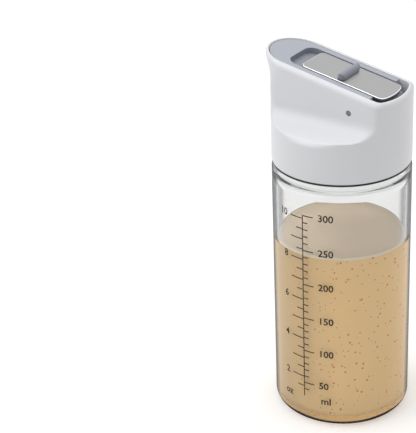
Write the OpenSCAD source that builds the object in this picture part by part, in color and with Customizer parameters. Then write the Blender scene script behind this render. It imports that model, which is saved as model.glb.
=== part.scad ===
// Salad dressing shaker bottle: a glass jar with a screw lid whose sprung
// lever opens a pour spout, and whose sliding plate locks the lever.
// Millimetres, +Z up, the origin at the middle of the jar's base.
// The spout points along -X.

/* [Glass jar] */
// Outside diameter of the glass body and of the lid's skirt
body_d = 65; // [60:0.5:72]
// Height of the glass shoulder above the table
shoulder_h = 128.6; // [100:0.2:160]
// Thickness of the glass wall
glass_wall = 2.7; // [2:0.1:3.4]
// Thickness of the glass under the inside floor
base_t = 4.4; // [3:0.1:9]
// Outer radius of the base's corner
base_corner = 5.1; // [2:0.1:8]
// Inner radius of the floor's corner
floor_corner = 4; // [1.5:0.1:8]
// Outer radius of the shoulder
shoulder_corner = 3; // [1:0.1:3.8]
// Height of the dome inside the shoulder
dome_h = 6; // [3:0.1:10]
// Glass between the top of the dome and the shoulder
dome_t = 2.8; // [2:0.1:5]
// Height of the neck above the shoulder
neck_h = 13.4; // [11:0.1:18]
// Thickness of the neck's glass
neck_wall = 3.4; // [2.6:0.1:4.5]
// Rounding of the neck's lip and of its root
lip_r = 0.7; // [0.3:0.05:1]

/* [Lid shell] */
// Gap between the glass shoulder and the lid's skirt
skirt_gap = 0.5; // [0.3:0.05:1.5]
// Wall of the skirt
skirt_wall = 2.5; // [1.8:0.1:3.5]
// Rounding at the skirt's lower edge
skirt_edge = 0.7; // [0.3:0.1:1.2]
// Thickness of the shell above the inner cap, at the side shelves
shelf_t = 3.9; // [2.5:0.1:7]
// Height of the hollow curve from a side shelf to its flat
shelf_rise = 7.5; // [4:0.1:9]
// Rounding of a side shelf's outer edge
shelf_edge = 3.8; // [2:0.1:5]
// Height of the top plane above the side shelves, on the axis
housing_h = 22.2; // [20:0.1:28]
// Slope of the top plane, in degrees, high at the spout
slope = 11; // [8:0.5:13]
// Reach of the spout's tip beyond the body
spout_over = 5; // [3:0.1:7]
// Share of the housing's height at which the spout starts to flare
flare_start = 0.4; // [0.2:0.02:0.6]
// Bend of the flare, larger is tighter to the rim
flare_power = 1.9; // [1.5:0.1:2.2]
// Outer rounding of the rim
rim_r = 2.4; // [1:0.1:3]
// Outer rounding of the rim at the spout's tip
tip_rim = 0.6; // [0.3:0.1:1]
// Roundness of the corners beside the flats, larger is sharper
corner_power = 37; // [20:1:60]

/* [Well in the lid's top] */
// Width of the well between the side walls
well_w = 27.7; // [26:0.1:30]
// Wall between the well and the side flats
side_wall = 3.15; // [2.6:0.05:4.5]
// Wall behind the well
rear_wall = 2.1; // [1.6:0.1:3]
// Wall in front of the well, at the spout's tip
tip_wall = 1.2; // [1:0.1:1.8]
// Wall in front of the throat, below the flare
throat_wall = 2.4; // [1.8:0.1:3.2]
// Radius of the well's rear corners
well_corner = 3.5; // [1:0.1:6]
// Depth at which the spout's hollow meets the upright well
throat_depth = 11.5; // [10:0.1:13]

/* [Inner cap] */
// Gap between the skirt and the inner cap
cap_gap = 0.25; // [0.1:0.05:0.4]
// Wall of the inner cap
cap_wall = 2.05; // [1.5:0.05:3]
// Room between the inner cap and the neck, for the thread
thread_room = 1.8; // [1.4:0.1:2.6]
// Thickness of the inner cap's roof
roof_t = 2; // [1.5:0.1:3]
// Lift of the inner cap's edge above the glass shoulder
cap_lift = 1.3; // [0.8:0.1:3]

/* [Seals] */
// Thickness of the ring on the neck
gasket_t = 1.6; // [1:0.1:3]
// Overhang of the ring inside the neck's bore
gasket_lap = 0.4; // [0:0.1:1.5]
// Gap between the ring and the inner cap's wall
gasket_gap = 0.3; // [0.2:0.05:0.6]
// Thickness of the washer under the pour tube
washer_t = 0.8; // [0.5:0.1:1.5]
// Distance of the air valve from the axis
valve_x = 5; // [2:0.5:8]
// Radius of the air valve's stem
valve_stem = 1.4; // [1:0.1:1.8]
// Radius of the air valve's head above the roof
valve_head = 2.2; // [1.8:0.1:3]
// Radius of the air valve's umbrella
valve_r = 4.5; // [3.8:0.1:6]
// Thickness of the air valve's umbrella and head
valve_t = 1; // [0.6:0.1:1.4]
// Radius of the air holes under the umbrella
air_r = 0.5; // [0.3:0.05:0.6]
// Distance of the air holes from the umbrella's edge
air_back = 1.2; // [0.9:0.1:1.6]

/* [Pour channel] */
// Distance of the pour tube's middle from the throat's tip
tube_back = 13.6; // [12.5:0.1:15]
// Radius of the pour tube's bore
tube_bore = 5.2; // [4:0.1:5.6]
// Wall of the pour tube
tube_wall = 1.8; // [1.2:0.1:2.2]
// Step from the deck up to the tube's seat
seat_step = 0.6; // [0.3:0.1:1.5]
// Wall of the channel's box
channel_wall = 1.6; // [1.2:0.1:2.4]
// Distance of the channel's rear wall from the axis
channel_back = 7.5; // [5:0.1:8.5]
// Gap between the channel and the well
channel_gap = 0.15; // [0.1:0.05:0.4]
// Width of the flange round the tube's foot
flange_w = 1.6; // [1:0.1:2.4]
// Thickness of the flange round the tube's foot
flange_t = 1.5; // [1:0.1:3]

/* [Pour lever] */
// Gap between the lever and the well
lever_gap = 0.38; // [0.3:0.02:0.7]
// Depth of the lever's rails below the rim
rail_sink = 0.4; // [0.2:0.1:0.8]
// Thickness of the flap over the spout
flap_t = 1.2; // [0.9:0.1:1.5]
// Depth of the well's upright wall below the flap's edge
flap_clear = 0.3; // [0.2:0.05:0.6]
// Length of the flap between its tip and the recess
flap_l = 13; // [11:0.1:15]
// Depth of the recess below the rim
recess_depth = 3.1; // [2.8:0.1:3.6]
// Thickness of the recess's floor
recess_floor = 1.5; // [1:0.1:2]
// Front wall of the recess
recess_wall = 2; // [1.2:0.1:3]
// Radius of the recess's front corners
recess_corner = 5; // [3:0.1:6]
// Distance of the rails' rear ends from the well's rear wall
rail_back = 8.4; // [7:0.1:10]
// Gap between the lever's tail and the well's rear wall
tail_gap = 2.4; // [1.8:0.1:3]
// Gap between the tail's sides and the plate's sides
tail_inset = 0.2; // [0:0.05:1]
// Width of each hub
hub_w = 4.6; // [3:0.1:5]
// Outer radius of the hubs
hub_r = 3.6; // [2.8:0.1:4.2]
// Radius of the boss above the stopper
boss_r = 6.5; // [5.5:0.1:7]
// Height of that boss below the lever, at its middle
boss_h = 4.4; // [2:0.1:6]

/* [Stopper] */
// Thickness of the stopper's flange
stopper_t = 2; // [1.2:0.1:2.6]
// Gap between the stopper and the pour tube's seat
stopper_gap = 0.2; // [0.1:0.05:0.5]
// Depth of the plug inside the tube
plug_depth = 2; // [1:0.1:2.6]
// Gap round the plug at its root
plug_gap = 0.6; // [0.4:0.05:1.2]
// Taper of the plug's side
plug_taper = 0.6; // [0:0.1:1]
// Radius of the nub that holds the stopper in its boss
nub_r = 2; // [1.2:0.1:3]
// Height of that nub
nub_h = 1.2; // [0.6:0.1:1.6]

/* [Pivot] */
// Distance of the pin from the well's rear wall
pin_back = 16.8; // [15.5:0.1:18]
// Depth of the pin below the rim
pin_depth = 9.1; // [8.5:0.1:10]
// Radius of the pin
pin_r = 1.35; // [1:0.05:1.6]
// Depth of the pin's ends in the side flats
pin_recess = 0.6; // [0.4:0.1:1.6]
// Radial clearance of the pin in the lid
pin_fit = 0.03; // [0.01:0.01:0.06]
// Radial clearance of the hubs on the pin
hub_fit = 0.05; // [0.02:0.01:0.1]

/* [Lock plate] */
// Width of the plate
plate_w = 18.7; // [17:0.1:19.5]
// Thickness of the plate
plate_t = 1.15; // [0.8:0.05:1.4]
// Depth of the plate's face below the rim
plate_sink = 0.4; // [0.2:0.05:0.8]
// Gap at the recess's front when the plate is pushed forward
plate_front_gap = 1.2; // [0.5:0.1:2]
// Gap between the plate's rear end and the well's rear wall
plate_rear_gap = 2.2; // [1.6:0.1:3]
// Radius of the plate's front corners
plate_corner = 2.5; // [1:0.1:4]
// Radius of the plate's rear corners
plate_rear_corner = 3.4; // [1:0.1:5]
// Gap between the plate's sides and the rails
plate_side_gap = 1.05; // [0.4:0.05:1.4]
// Travel of the plate towards the spout
plate_travel = 6; // [4:0.1:6.2]

/* [Thumb rib] */
// Distance of the rib's front from the plate's front
rib_place = 17.9; // [14:0.1:22]
// Width of the rib along the travel
rib_w = 3.9; // [3:0.1:6]
// Length of the rib across the plate
rib_l = 15.6; // [12:0.1:17]
// Height of the rib above the plate
rib_h = 2.8; // [2:0.1:4]

/* [Runner] */
// Distance of the runner's front from the plate's front
runner_place = 10.1; // [7:0.1:14]
// Length of the runner
runner_l = 14; // [10:0.1:16]
// Width of the runner
runner_w = 16.4; // [12:0.1:17]
// Gap between the runner and the recess's floor
runner_lift = 0.1; // [0.05:0.05:0.3]
// Length of the runner's stem
stem_l = 4; // [3:0.1:5]
// Width of the runner's stem
stem_w = 3.6; // [2.4:0.1:5]
// Gap between the stem and its slot, and above the foot
stem_gap = 0.35; // [0.3:0.05:0.6]
// Lip of the runner's foot beyond its stem, at each side
foot_lip = 1.8; // [1:0.1:3]
// Thickness of the runner's foot
foot_t = 1.2; // [0.8:0.1:1.4]

/* [Spring] */
// Distance of the spring's middle from the well's rear wall
spring_back = 8.8; // [8:0.1:10]
// Radius of the coil's centre line
coil_r = 3.2; // [2.9:0.1:3.6]
// Diameter of the wire
wire_d = 0.7; // [0.5:0.05:0.9]
// Number of turns
coil_turns = 6; // [4:1:7]
// Gap between the spring's ends and their seats
spring_gap = 0.1; // [0.05:0.05:0.3]
// Radial gap between the spring and its spigots
spigot_gap = 0.35; // [0.2:0.05:0.6]
// Height of the spring's spigots
spigot_h = 1.6; // [0.8:0.1:2.4]
// Height of the spring's lower seat
seat_h = 1.2; // [0.6:0.1:3]
// Margin of the seats round the spring
seat_margin = 0.5; // [0.2:0.1:0.9]

/* [Hidden] */

round_n = 96;
small_n = 48;
past = 1;
far = 60;

// Degrees between the well's rear arc and the first point of its corners
corner_skip = 9;

// The spring's wire: sides, and steps to a turn
wire_sides = 6;
coil_steps = 8;

// Jar
body_r = body_d / 2;
inside_r = body_r - glass_wall;
cap_out_r = body_r - skirt_wall - cap_gap;
cap_in_r = cap_out_r - cap_wall;
neck_r = cap_in_r - thread_room;
neck_in_r = neck_r - neck_wall;
neck_top = shoulder_h + neck_h;
dome_top = shoulder_h - dome_t;

// Lid, from the neck upward
skirt_z = shoulder_h + skirt_gap;
roof_z = neck_top + gasket_t;
roof_top = roof_z + roof_t;
shelf_z = roof_top + shelf_t;
foot_z = shelf_z + shelf_rise;
top_z = shelf_z + housing_h;
well_y = well_w / 2;
flat_y = well_y + side_wall;
well_rear = body_r - rear_wall;
spout_reach = body_r + spout_over;
well_tip = spout_reach - tip_wall;
throat_tip = body_r - throat_wall;
spout_mid = spout_reach - flat_y;
open_half = 3 * body_r;

// Lever, in the frame of the sloping top
recess_y = plate_w / 2 + plate_side_gap;
recess_front = well_tip - flap_l;
lever_under = recess_depth + recess_floor;
tip_depth = (rail_sink + flap_t) / cos(slope) + flap_clear;
lever_y = well_y - lever_gap;
tail_y = plate_w / 2 - tail_inset;
tail_r = well_rear - tail_gap;
rail_end = well_rear - rail_back;

// Reach of the well's hollow at the depth of the lever's underside
under_tip = blend(well_tip, throat_tip,
    (lever_under / cos(slope) - tip_depth) / (throat_depth - tip_depth));

// Plate and runner, in the same frame
plate_front = recess_front - plate_travel - plate_front_gap;
plate_back = well_rear - plate_rear_gap;
runner_mid = runner_place + runner_l / 2 - plate_front;

// Pivot
pin_x = well_rear - pin_back;
pin_z = rim_z(pin_x) - pin_depth / cos(slope);

// Pour tube and stopper, downward from the lever
tube_x = throat_tip - tube_back;
boss_z = rim_z(-tube_x) - lever_under / cos(slope) - boss_h;
stopper_z = boss_z - stopper_t;
tube_top = stopper_z - stopper_gap;
foot_r = tube_bore + tube_wall + flange_w;
channel_low = roof_top + washer_t;

// Spring
spring_x = well_rear - spring_back;
spring_lo = roof_top + seat_h;
seat_r = coil_r + wire_d / 2 + seat_margin;
spring_hi = rim_z(spring_x + seat_r) - lever_under / cos(slope) - seat_margin;
spigot_r = coil_r - wire_d / 2 - spigot_gap;
coil_h = spring_hi - spring_lo - 2 * spring_gap - wire_d;
coil_n = coil_turns * coil_steps;

// Height of the sloping top plane above a place along X
function rim_z(x) = top_z - x * tan(slope);

function blend(a, b, t) = a + (b - a) * t;

function ease(t) = let (k = max(0, min(1, t))) k * k * (3 - 2 * k);

// Arc of an ellipse as points, from one angle to another
function arc(x, y, rx, ry, from, to, n) = [
    for (i = [0:n])
        let (a = blend(from, to, i / n))
        [x + rx * cos(a), y + ry * sin(a)]
];

// Skin over closed rings that lie above one another, each turning left
module loft(rings) {
    n = len(rings[0]);
    last = len(rings) - 1;
    low_mid = [for (k = [0:2]) mean([for (p = rings[0]) p[k]])];
    high_mid = [for (k = [0:2]) mean([for (p = rings[last]) p[k]])];
    points = concat([for (ring = rings) each ring], [low_mid, high_mid]);
    low = n * (last + 1);
    sides = [
        for (i = [0:last - 1], j = [0:n - 1])
            let (k = (j + 1) % n)
            each [
                [i * n + j, (i + 1) * n + j, (i + 1) * n + k],
                [i * n + j, (i + 1) * n + k, i * n + k]
            ]
    ];
    caps = [
        for (j = [0:n - 1])
            let (k = (j + 1) % n)
            each [[low, j, k], [low + 1, last * n + k, last * n + j]]
    ];
    polyhedron(points, concat(sides, caps), convexity = 6);
}

function mean(values) = values * [for (v = values) 1] / len(values);

// The frame of the sloping top: X down the slope, Z out of the top plane
module on_slope() {
    translate([0, 0, top_z]) rotate([0, slope, 0]) children();
}

// Everything between two depths below the top plane
module layer(from, to) {
    on_slope() translate([-far, -far, -to]) cube([2 * far, 2 * far, to - from]);
}

// Glass jar

module glass_jar() {
    profile = concat(
        [[0, 0]],
        arc(body_r - base_corner, base_corner, base_corner, base_corner, -90, 0, 8),
        arc(body_r - shoulder_corner, shoulder_h - shoulder_corner,
            shoulder_corner, shoulder_corner, 0, 90, 6),
        arc(neck_r + lip_r, shoulder_h + lip_r, lip_r, lip_r, -90, -180, 3),
        arc(neck_r - lip_r, neck_top - lip_r, lip_r, lip_r, 0, 90, 4),
        arc(neck_in_r + lip_r, neck_top - lip_r, lip_r, lip_r, 90, 180, 4),
        [[neck_in_r, dome_top + lip_r]],
        arc(neck_in_r, dome_top - dome_h, inside_r - neck_in_r, dome_h, 80, 0, 9),
        arc(inside_r - floor_corner, base_t + floor_corner,
            floor_corner, floor_corner, 0, -90, 7),
        [[0, base_t]]
    );
    color("lightcyan", 0.4)
        rotate_extrude($fn = round_n) polygon(profile);
}

// Lid shell

// Outline of the shell at one angle: the round skirt drawn in to the flats
function drawn_in(a, half) =
    pow(pow(1 / body_r, corner_power) + pow(abs(sin(a)) / half, corner_power),
        -1 / corner_power);

// Outline of the spout's round nose at one angle, flats included
function nosed(a) =
    let (c = cos(a), s = sin(a), y = abs(s))
    c < 0 && y * spout_mid < -c * flat_y
        ? -spout_mid * c + sqrt(flat_y * flat_y - spout_mid * spout_mid * s * s)
        : drawn_in(a, flat_y);

// One ring of the outline: half width of the flats and share of the nose
function outline(half, nose) = [
    for (i = [0:round_n - 1])
        let (a = 360 * i / round_n)
        let (r = blend(drawn_in(a, half), nosed(a), nose))
        [r * cos(a), r * sin(a)]
];

// The same ring drawn in by a distance square to itself
function inset(ring, d) = [
    for (i = [0:round_n - 1])
        let (before = ring[(i + round_n - 1) % round_n])
        let (after = ring[(i + 1) % round_n])
        let (along = (after - before) / norm(after - before))
        ring[i] + d * [-along[1], along[0]]
];

function level(ring, z) = [for (p = ring) [p[0], p[1], z]];

// Rounding of the rim beside a point, smaller round the spout's tip
function rim_at(p) =
    p[0] > 0 ? rim_r : blend(tip_rim, rim_r, ease(abs(p[1]) / flat_y));

// A ring at a share of the height from the flats' foot to the rim's rounding
function risen(t) =
    let (u = max(0, (t - flare_start) / (1 - flare_start)))
    [
        for (p = outline(flat_y, (pow(u, flare_power) + ease(u)) / 2))
            [p[0], p[1], blend(foot_z, rim_z(p[0]) - rim_at(p), t)]
    ];

// A ring on the rim's rounding, at an angle from its side to its top
function rimmed(a) =
    let (side = outline(flat_y, 1))
    let (drawn = inset(side, 1 - cos(a)))
    [
        for (i = [0:round_n - 1])
            let (r = rim_at(side[i]))
            let (p = side[i] + r * (drawn[i] - side[i]))
            [p[0], p[1], rim_z(p[0]) - r * (1 - sin(a))]
    ];

// A ring on the convex edge of the side shelves
function shelf_roll(a) =
    level(outline(body_r - shelf_edge * (1 - cos(a)), 0),
        shelf_z - shelf_edge * (1 - sin(a)));

// A ring on the hollow curve from the shelves to the flats
function shelf_hollow(a) =
    level(outline(blend(body_r - shelf_edge, flat_y, cos(a)), 0),
        foot_z - shelf_rise * sin(a));

shell_rings = concat(
    [level(inset(outline(open_half, 0), skirt_edge), skirt_z)],
    [level(outline(open_half, 0), skirt_z + skirt_edge)],
    [level(outline(open_half, 0), shelf_z - shelf_edge)],
    [for (a = [18:18:90]) shelf_roll(a)],
    [for (a = [75:-15:0]) shelf_hollow(a)],
    [for (t = [0.2, 0.4, 0.52, 0.64, 0.76, 0.88, 1]) risen(t)],
    [for (a = [22, 45, 67, 90]) rimmed(a)]
);

// Outline of the well, with its front end at the reach given
function well_ring(tip, gap) =
    let (mid = well_rear - well_corner)
    let (cy = well_y - well_corner)
    let (cx = sqrt(mid * mid - cy * cy))
    let (turn = atan2(cy, cx))
    concat(
        arc(0, 0, well_rear - gap, well_rear - gap, -turn, turn, 8),
        arc(cx, cy, well_corner - gap, well_corner - gap, turn + corner_skip, 90, 5),
        arc(well_y - tip, 0, well_y - gap, well_y - gap, 90, 270, 22),
        arc(cx, -cy, well_corner - gap, well_corner - gap, -90, -turn - corner_skip, 5)
    );

// The same outline on a plane at a depth below the rim
function sloped(ring, depth) = [for (p = ring) [p[0], p[1], rim_z(p[0]) - depth]];

module well() {
    loft([
        level(well_ring(throat_tip, 0), roof_top - past),
        sloped(well_ring(throat_tip, 0), throat_depth),
        sloped(well_ring(well_tip, 0), tip_depth),
        sloped(well_ring(well_tip, 0), -past)
    ]);
}

module across(r, reach) {
    rotate([90, 0, 0]) cylinder(r = r, h = 2 * reach, center = true, $fn = small_n);
}

module lid_shell() {
    color("white") difference() {
        loft(shell_rings);
        well();
        translate([0, 0, skirt_z - past])
            cylinder(r = body_r - skirt_wall, h = roof_top - skirt_z + past, $fn = round_n);
        translate([pin_x, 0, pin_z]) across(pin_r + pin_fit, flat_y + past);
    }
}

// Inner cap and what it carries

module spigot(z, h) {
    translate([spring_x, 0, z]) cylinder(r = spigot_r, h = h, $fn = small_n);
}

module inner_cap() {
    color("gainsboro") difference() {
        union() {
            translate([0, 0, shoulder_h + cap_lift])
                cylinder(r = cap_out_r, h = roof_top - shoulder_h - cap_lift, $fn = round_n);
            translate([spring_x, 0, roof_top - past])
                cylinder(r = seat_r, h = seat_h + past, $fn = small_n);
            spigot(spring_lo - past, spigot_h + past);
        }
        translate([0, 0, shoulder_h])
            cylinder(r = cap_in_r, h = roof_z - shoulder_h, $fn = round_n);
        translate([-tube_x, 0, roof_z - past])
            cylinder(r = tube_bore, h = roof_t + 2 * past, $fn = small_n);
        translate([valve_x, 0, roof_z - past]) {
            cylinder(r = valve_stem, h = roof_t + 2 * past, $fn = small_n);
            for (a = [45:90:315])
                rotate([0, 0, a]) translate([valve_r - air_back, 0, 0])
                    cylinder(r = air_r, h = roof_t + 2 * past, $fn = small_n);
        }
    }
}

module ring(z, outer, inner, h) {
    translate([0, 0, z]) difference() {
        cylinder(r = outer, h = h, $fn = round_n);
        translate([0, 0, -past]) cylinder(r = inner, h = h + 2 * past, $fn = round_n);
    }
}

module neck_gasket() {
    color("silver")
        ring(neck_top, cap_in_r - gasket_gap, neck_in_r - gasket_lap, gasket_t);
}

module air_valve() {
    color("silver") translate([valve_x, 0, 0]) {
        translate([0, 0, roof_z - valve_t]) cylinder(r = valve_r, h = valve_t, $fn = small_n);
        translate([0, 0, roof_z - valve_t])
            cylinder(r = valve_stem, h = roof_t + 2 * valve_t, $fn = small_n);
        translate([0, 0, roof_top])
            cylinder(r = valve_head, h = valve_t, $fn = small_n);
    }
}

// Pour channel

module channel_plan(gap) {
    difference() {
        polygon(well_ring(throat_tip, gap));
        translate([-channel_back - channel_gap + gap, -far]) square([2 * far, 2 * far]);
    }
}

module tube(z, r, h) {
    translate([-tube_x, 0, z]) cylinder(r = r, h = h, $fn = small_n);
}

module spout_channel() {
    deck = tube_top - seat_step;
    color("white") difference() {
        union() {
            difference() {
                translate([0, 0, roof_top])
                    linear_extrude(deck - roof_top) channel_plan(channel_gap);
                translate([0, 0, roof_top - past])
                    linear_extrude(deck - roof_top - channel_wall + past)
                    channel_plan(channel_gap + channel_wall);
            }
            tube(channel_low, tube_bore + tube_wall, tube_top - channel_low);
            tube(channel_low, foot_r, flange_t);
        }
        tube(roof_top, tube_bore, tube_top - roof_top + past);
    }
}

module channel_washer() {
    color("silver") translate([-tube_x, 0, 0])
        ring(roof_top, foot_r, tube_bore, washer_t);
}

// Pour lever

// Ground plan of the lever with its front end at the reach given
module lever_plan(tip) {
    translate([well_y - tip, 0]) circle(r = lever_y, $fn = round_n);
    translate([well_y - tip, -lever_y]) square([rail_end - well_y + tip, 2 * lever_y]);
}

module tail_plan() {
    intersection() {
        circle(r = tail_r, $fn = round_n);
        translate([0, -tail_y]) square([far, 2 * tail_y]);
    }
}

// Plan of a strip with round front corners, from its front edge rearward
module strip_plan(front, half, r) {
    for (side = [-1, 1])
        translate([r - front, side * (half - r)]) circle(r = r, $fn = small_n);
    translate([r - front, -half]) square([far, 2 * half]);
    translate([-front, r - half]) square([far, 2 * (half - r)]);
}

module upright(from) {
    translate([0, 0, from]) linear_extrude(far) children();
}

module hubs() {
    for (side = [-1, 1])
        translate([pin_x, side * (lever_y - hub_w / 2), pin_z]) {
            rotate([90, 0, 0])
                cylinder(r = hub_r, h = hub_w, center = true, $fn = small_n);
            translate([-hub_r, -hub_w / 2, 0]) cube([2 * hub_r, hub_w, pin_depth]);
        }
}

module pour_lever() {
    color("slategray") difference() {
        union() {
            intersection() {
                upright(pin_z) lever_plan(well_tip);
                layer(rail_sink, rail_sink + flap_t);
            }
            intersection() {
                upright(pin_z) lever_plan(under_tip);
                layer(rail_sink, lever_under);
                on_slope() translate([-recess_front - recess_wall, -far, -far])
                    cube([2 * far, 2 * far, 2 * far]);
            }
            intersection() {
                upright(pin_z - far / 2) tail_plan();
                layer(recess_depth, lever_under);
            }
            intersection() {
                hubs();
                layer(recess_depth, far);
            }
            intersection() {
                union() {
                    tube(boss_z, boss_r, far);
                    translate([spring_x, 0, spring_hi])
                        cylinder(r = seat_r, h = far, $fn = small_n);
                    spigot(spring_hi - spigot_h, spigot_h + past);
                }
                layer(recess_depth + recess_floor / 2, far);
            }
        }
        on_slope() {
            translate([0, 0, -recess_depth])
                linear_extrude(far) strip_plan(recess_front, recess_y, recess_corner);
            translate([runner_mid - plate_travel - stem_l / 2 - stem_gap,
                    -stem_w / 2 - stem_gap, -far])
                cube([plate_travel + stem_l + 2 * stem_gap, stem_w + 2 * stem_gap, far]);
        }
        translate([pin_x, 0, pin_z]) across(pin_r + hub_fit, well_y);
        tube(boss_z - past, nub_r, nub_h + past);
    }
}

module spout_stopper() {
    plug_r = tube_bore - plug_gap;
    color("dimgray") {
        tube(stopper_z, tube_bore + tube_wall, stopper_t);
        translate([-tube_x, 0, stopper_z - plug_depth])
            cylinder(r1 = plug_r - plug_taper, r2 = plug_r, h = plug_depth, $fn = small_n);
        tube(stopper_z, nub_r, stopper_t + nub_h);
    }
}

module pivot_pin() {
    color("lightgray")
        translate([pin_x, 0, pin_z]) across(pin_r, flat_y - pin_recess);
}

// Spring under the lever's tail: one round wire wound from seat to seat

function coil_at(t) =
    let (a = 360 * coil_turns * t)
    [spring_x + coil_r * cos(a), coil_r * sin(a),
        spring_lo + spring_gap + wire_d / 2 + coil_h * t];

function wire_ring(t) =
    let (a = 360 * coil_turns * t)
    let (out = [cos(a), sin(a), 0])
    let (rise = atan2(coil_h, 2 * PI * coil_r * coil_turns))
    let (up = [sin(a) * sin(rise), -cos(a) * sin(rise), cos(rise)])
    [
        for (i = [0:wire_sides - 1])
            let (b = 360 * i / wire_sides)
            coil_at(t) + wire_d / 2 * (cos(b) * out - sin(b) * up)
    ];

// Gaps of the wire to itself, between points half a turn or more apart
coil_gaps = [
    for (i = [0:coil_n - coil_steps / 2], j = [i + coil_steps / 2:coil_n])
        norm(coil_at(i / coil_n) - coil_at(j / coil_n)) - wire_d
];
echo(least_gap_of_the_spring = min(coil_gaps));

module lever_spring() {
    color("silver") loft([for (i = [0:coil_n]) wire_ring(i / coil_n)]);
}

// Lock plate, its rib and its runner, in the frame of the sloping top

// Rear end of the plate: an arc about the axis with round corners
module plate_end() {
    r = plate_rear_corner;
    side_y = plate_w / 2 - r;
    mid = plate_back - r;
    end_x = sqrt(mid * mid - side_y * side_y);
    arc_y = side_y * plate_back / mid;
    translate([0, -plate_w / 2]) square([end_x, plate_w]);
    for (side = [-1, 1])
        translate([end_x, side * side_y]) circle(r = r, $fn = small_n);
    intersection() {
        circle(r = plate_back, $fn = round_n);
        translate([0, -arc_y]) square([far, 2 * arc_y]);
    }
}

module lock_plate() {
    color("lightsteelblue") on_slope()
        translate([0, 0, -plate_sink - plate_t]) linear_extrude(plate_t) {
            intersection() {
                strip_plan(plate_front, plate_w / 2, plate_corner);
                translate([-far, -far]) square([far + past, 2 * far]);
            }
            plate_end();
        }
}

// Bar with round ends and a round back
module thumb_rib() {
    end_r = rib_w / 2;
    side_y = rib_l / 2 - end_r;
    color("dimgray") on_slope()
        translate([rib_place + end_r - plate_front, 0, -plate_sink]) intersection() {
            linear_extrude(rib_h) {
                square([rib_w, 2 * side_y], center = true);
                for (side = [-1, 1])
                    translate([0, side * side_y]) circle(r = end_r, $fn = small_n);
            }
            rotate([90, 0, 0]) linear_extrude(rib_l, center = true)
                polygon(concat(
                    [[-end_r, -past], [end_r, -past]],
                    arc(0, rib_h - end_r, end_r, end_r, 0, 180, 12)
                ));
        }
}

module plate_runner() {
    top = plate_sink + plate_t;
    foot_top = lever_under + stem_gap;
    color("gray") on_slope() {
        translate([runner_place - plate_front, -runner_w / 2, runner_lift - recess_depth])
            cube([runner_l, runner_w, recess_depth - runner_lift - top]);
        translate([runner_mid - stem_l / 2, -stem_w / 2, -foot_top - foot_t])
            cube([stem_l, stem_w, foot_top + foot_t - top]);
        translate([runner_mid - stem_l / 2, -stem_w / 2 - foot_lip, -foot_top - foot_t])
            cube([stem_l, stem_w + 2 * foot_lip, foot_t]);
    }
}

glass_jar();
lid_shell();
inner_cap();
neck_gasket();
spout_channel();
channel_washer();
air_valve();
pour_lever();
spout_stopper();
pivot_pin();
lever_spring();
lock_plate();
thumb_rib();
plate_runner();
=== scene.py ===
import math

import bmesh
import bpy
from mathutils import Matrix, Vector


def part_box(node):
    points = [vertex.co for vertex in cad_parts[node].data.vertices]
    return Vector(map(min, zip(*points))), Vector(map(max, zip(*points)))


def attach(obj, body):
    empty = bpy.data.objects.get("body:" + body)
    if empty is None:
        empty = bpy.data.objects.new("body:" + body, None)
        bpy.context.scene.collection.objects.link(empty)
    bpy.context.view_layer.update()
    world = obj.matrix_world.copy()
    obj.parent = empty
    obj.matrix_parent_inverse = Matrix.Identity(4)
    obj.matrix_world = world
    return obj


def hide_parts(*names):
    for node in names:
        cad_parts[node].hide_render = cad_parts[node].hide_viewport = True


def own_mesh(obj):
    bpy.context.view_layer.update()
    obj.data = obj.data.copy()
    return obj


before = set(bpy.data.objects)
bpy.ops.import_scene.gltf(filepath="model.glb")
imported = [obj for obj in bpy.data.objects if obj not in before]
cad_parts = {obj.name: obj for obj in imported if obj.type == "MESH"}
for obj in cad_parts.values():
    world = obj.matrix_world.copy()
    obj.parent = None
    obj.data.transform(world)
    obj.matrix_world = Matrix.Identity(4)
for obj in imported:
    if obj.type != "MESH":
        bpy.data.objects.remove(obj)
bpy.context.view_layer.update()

mm = 0.001
scene = bpy.context.scene


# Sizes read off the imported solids, in millimetres

def low(node):
    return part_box(node)[0] / mm


def high(node):
    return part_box(node)[1] / mm


bodyRadius = high("glass_jar").y
neckTop = high("glass_jar").z
skirtLow = low("lid_shell").z
roofTop = low("spout_channel").z
pinRadius = (high("pivot_pin").x - low("pivot_pin").x) / 2
pinX = (high("pivot_pin").x + low("pivot_pin").x) / 2
pinZ = (high("pivot_pin").z + low("pivot_pin").z) / 2


# Shader maths, written as sums of sockets

class Signal:
    def __init__(self, paint, socket):
        self.paint = paint
        self.socket = socket

    def math(self, operation, *others):
        values = dict(enumerate((self,) + others))
        return self.paint.node("Math", {"operation": operation}, values)

    def __add__(self, other):
        return self.math("ADD", other)

    def __mul__(self, other):
        return self.math("MULTIPLY", other)

    def __sub__(self, other):
        return self.math("SUBTRACT", other)

    def __rsub__(self, other):
        return self.paint.node("Math", {"operation": "SUBTRACT"}, {0: other, 1: self})

    def __gt__(self, other):
        return self.math("GREATER_THAN", other)

    def __lt__(self, other):
        return self.math("LESS_THAN", other)


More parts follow.
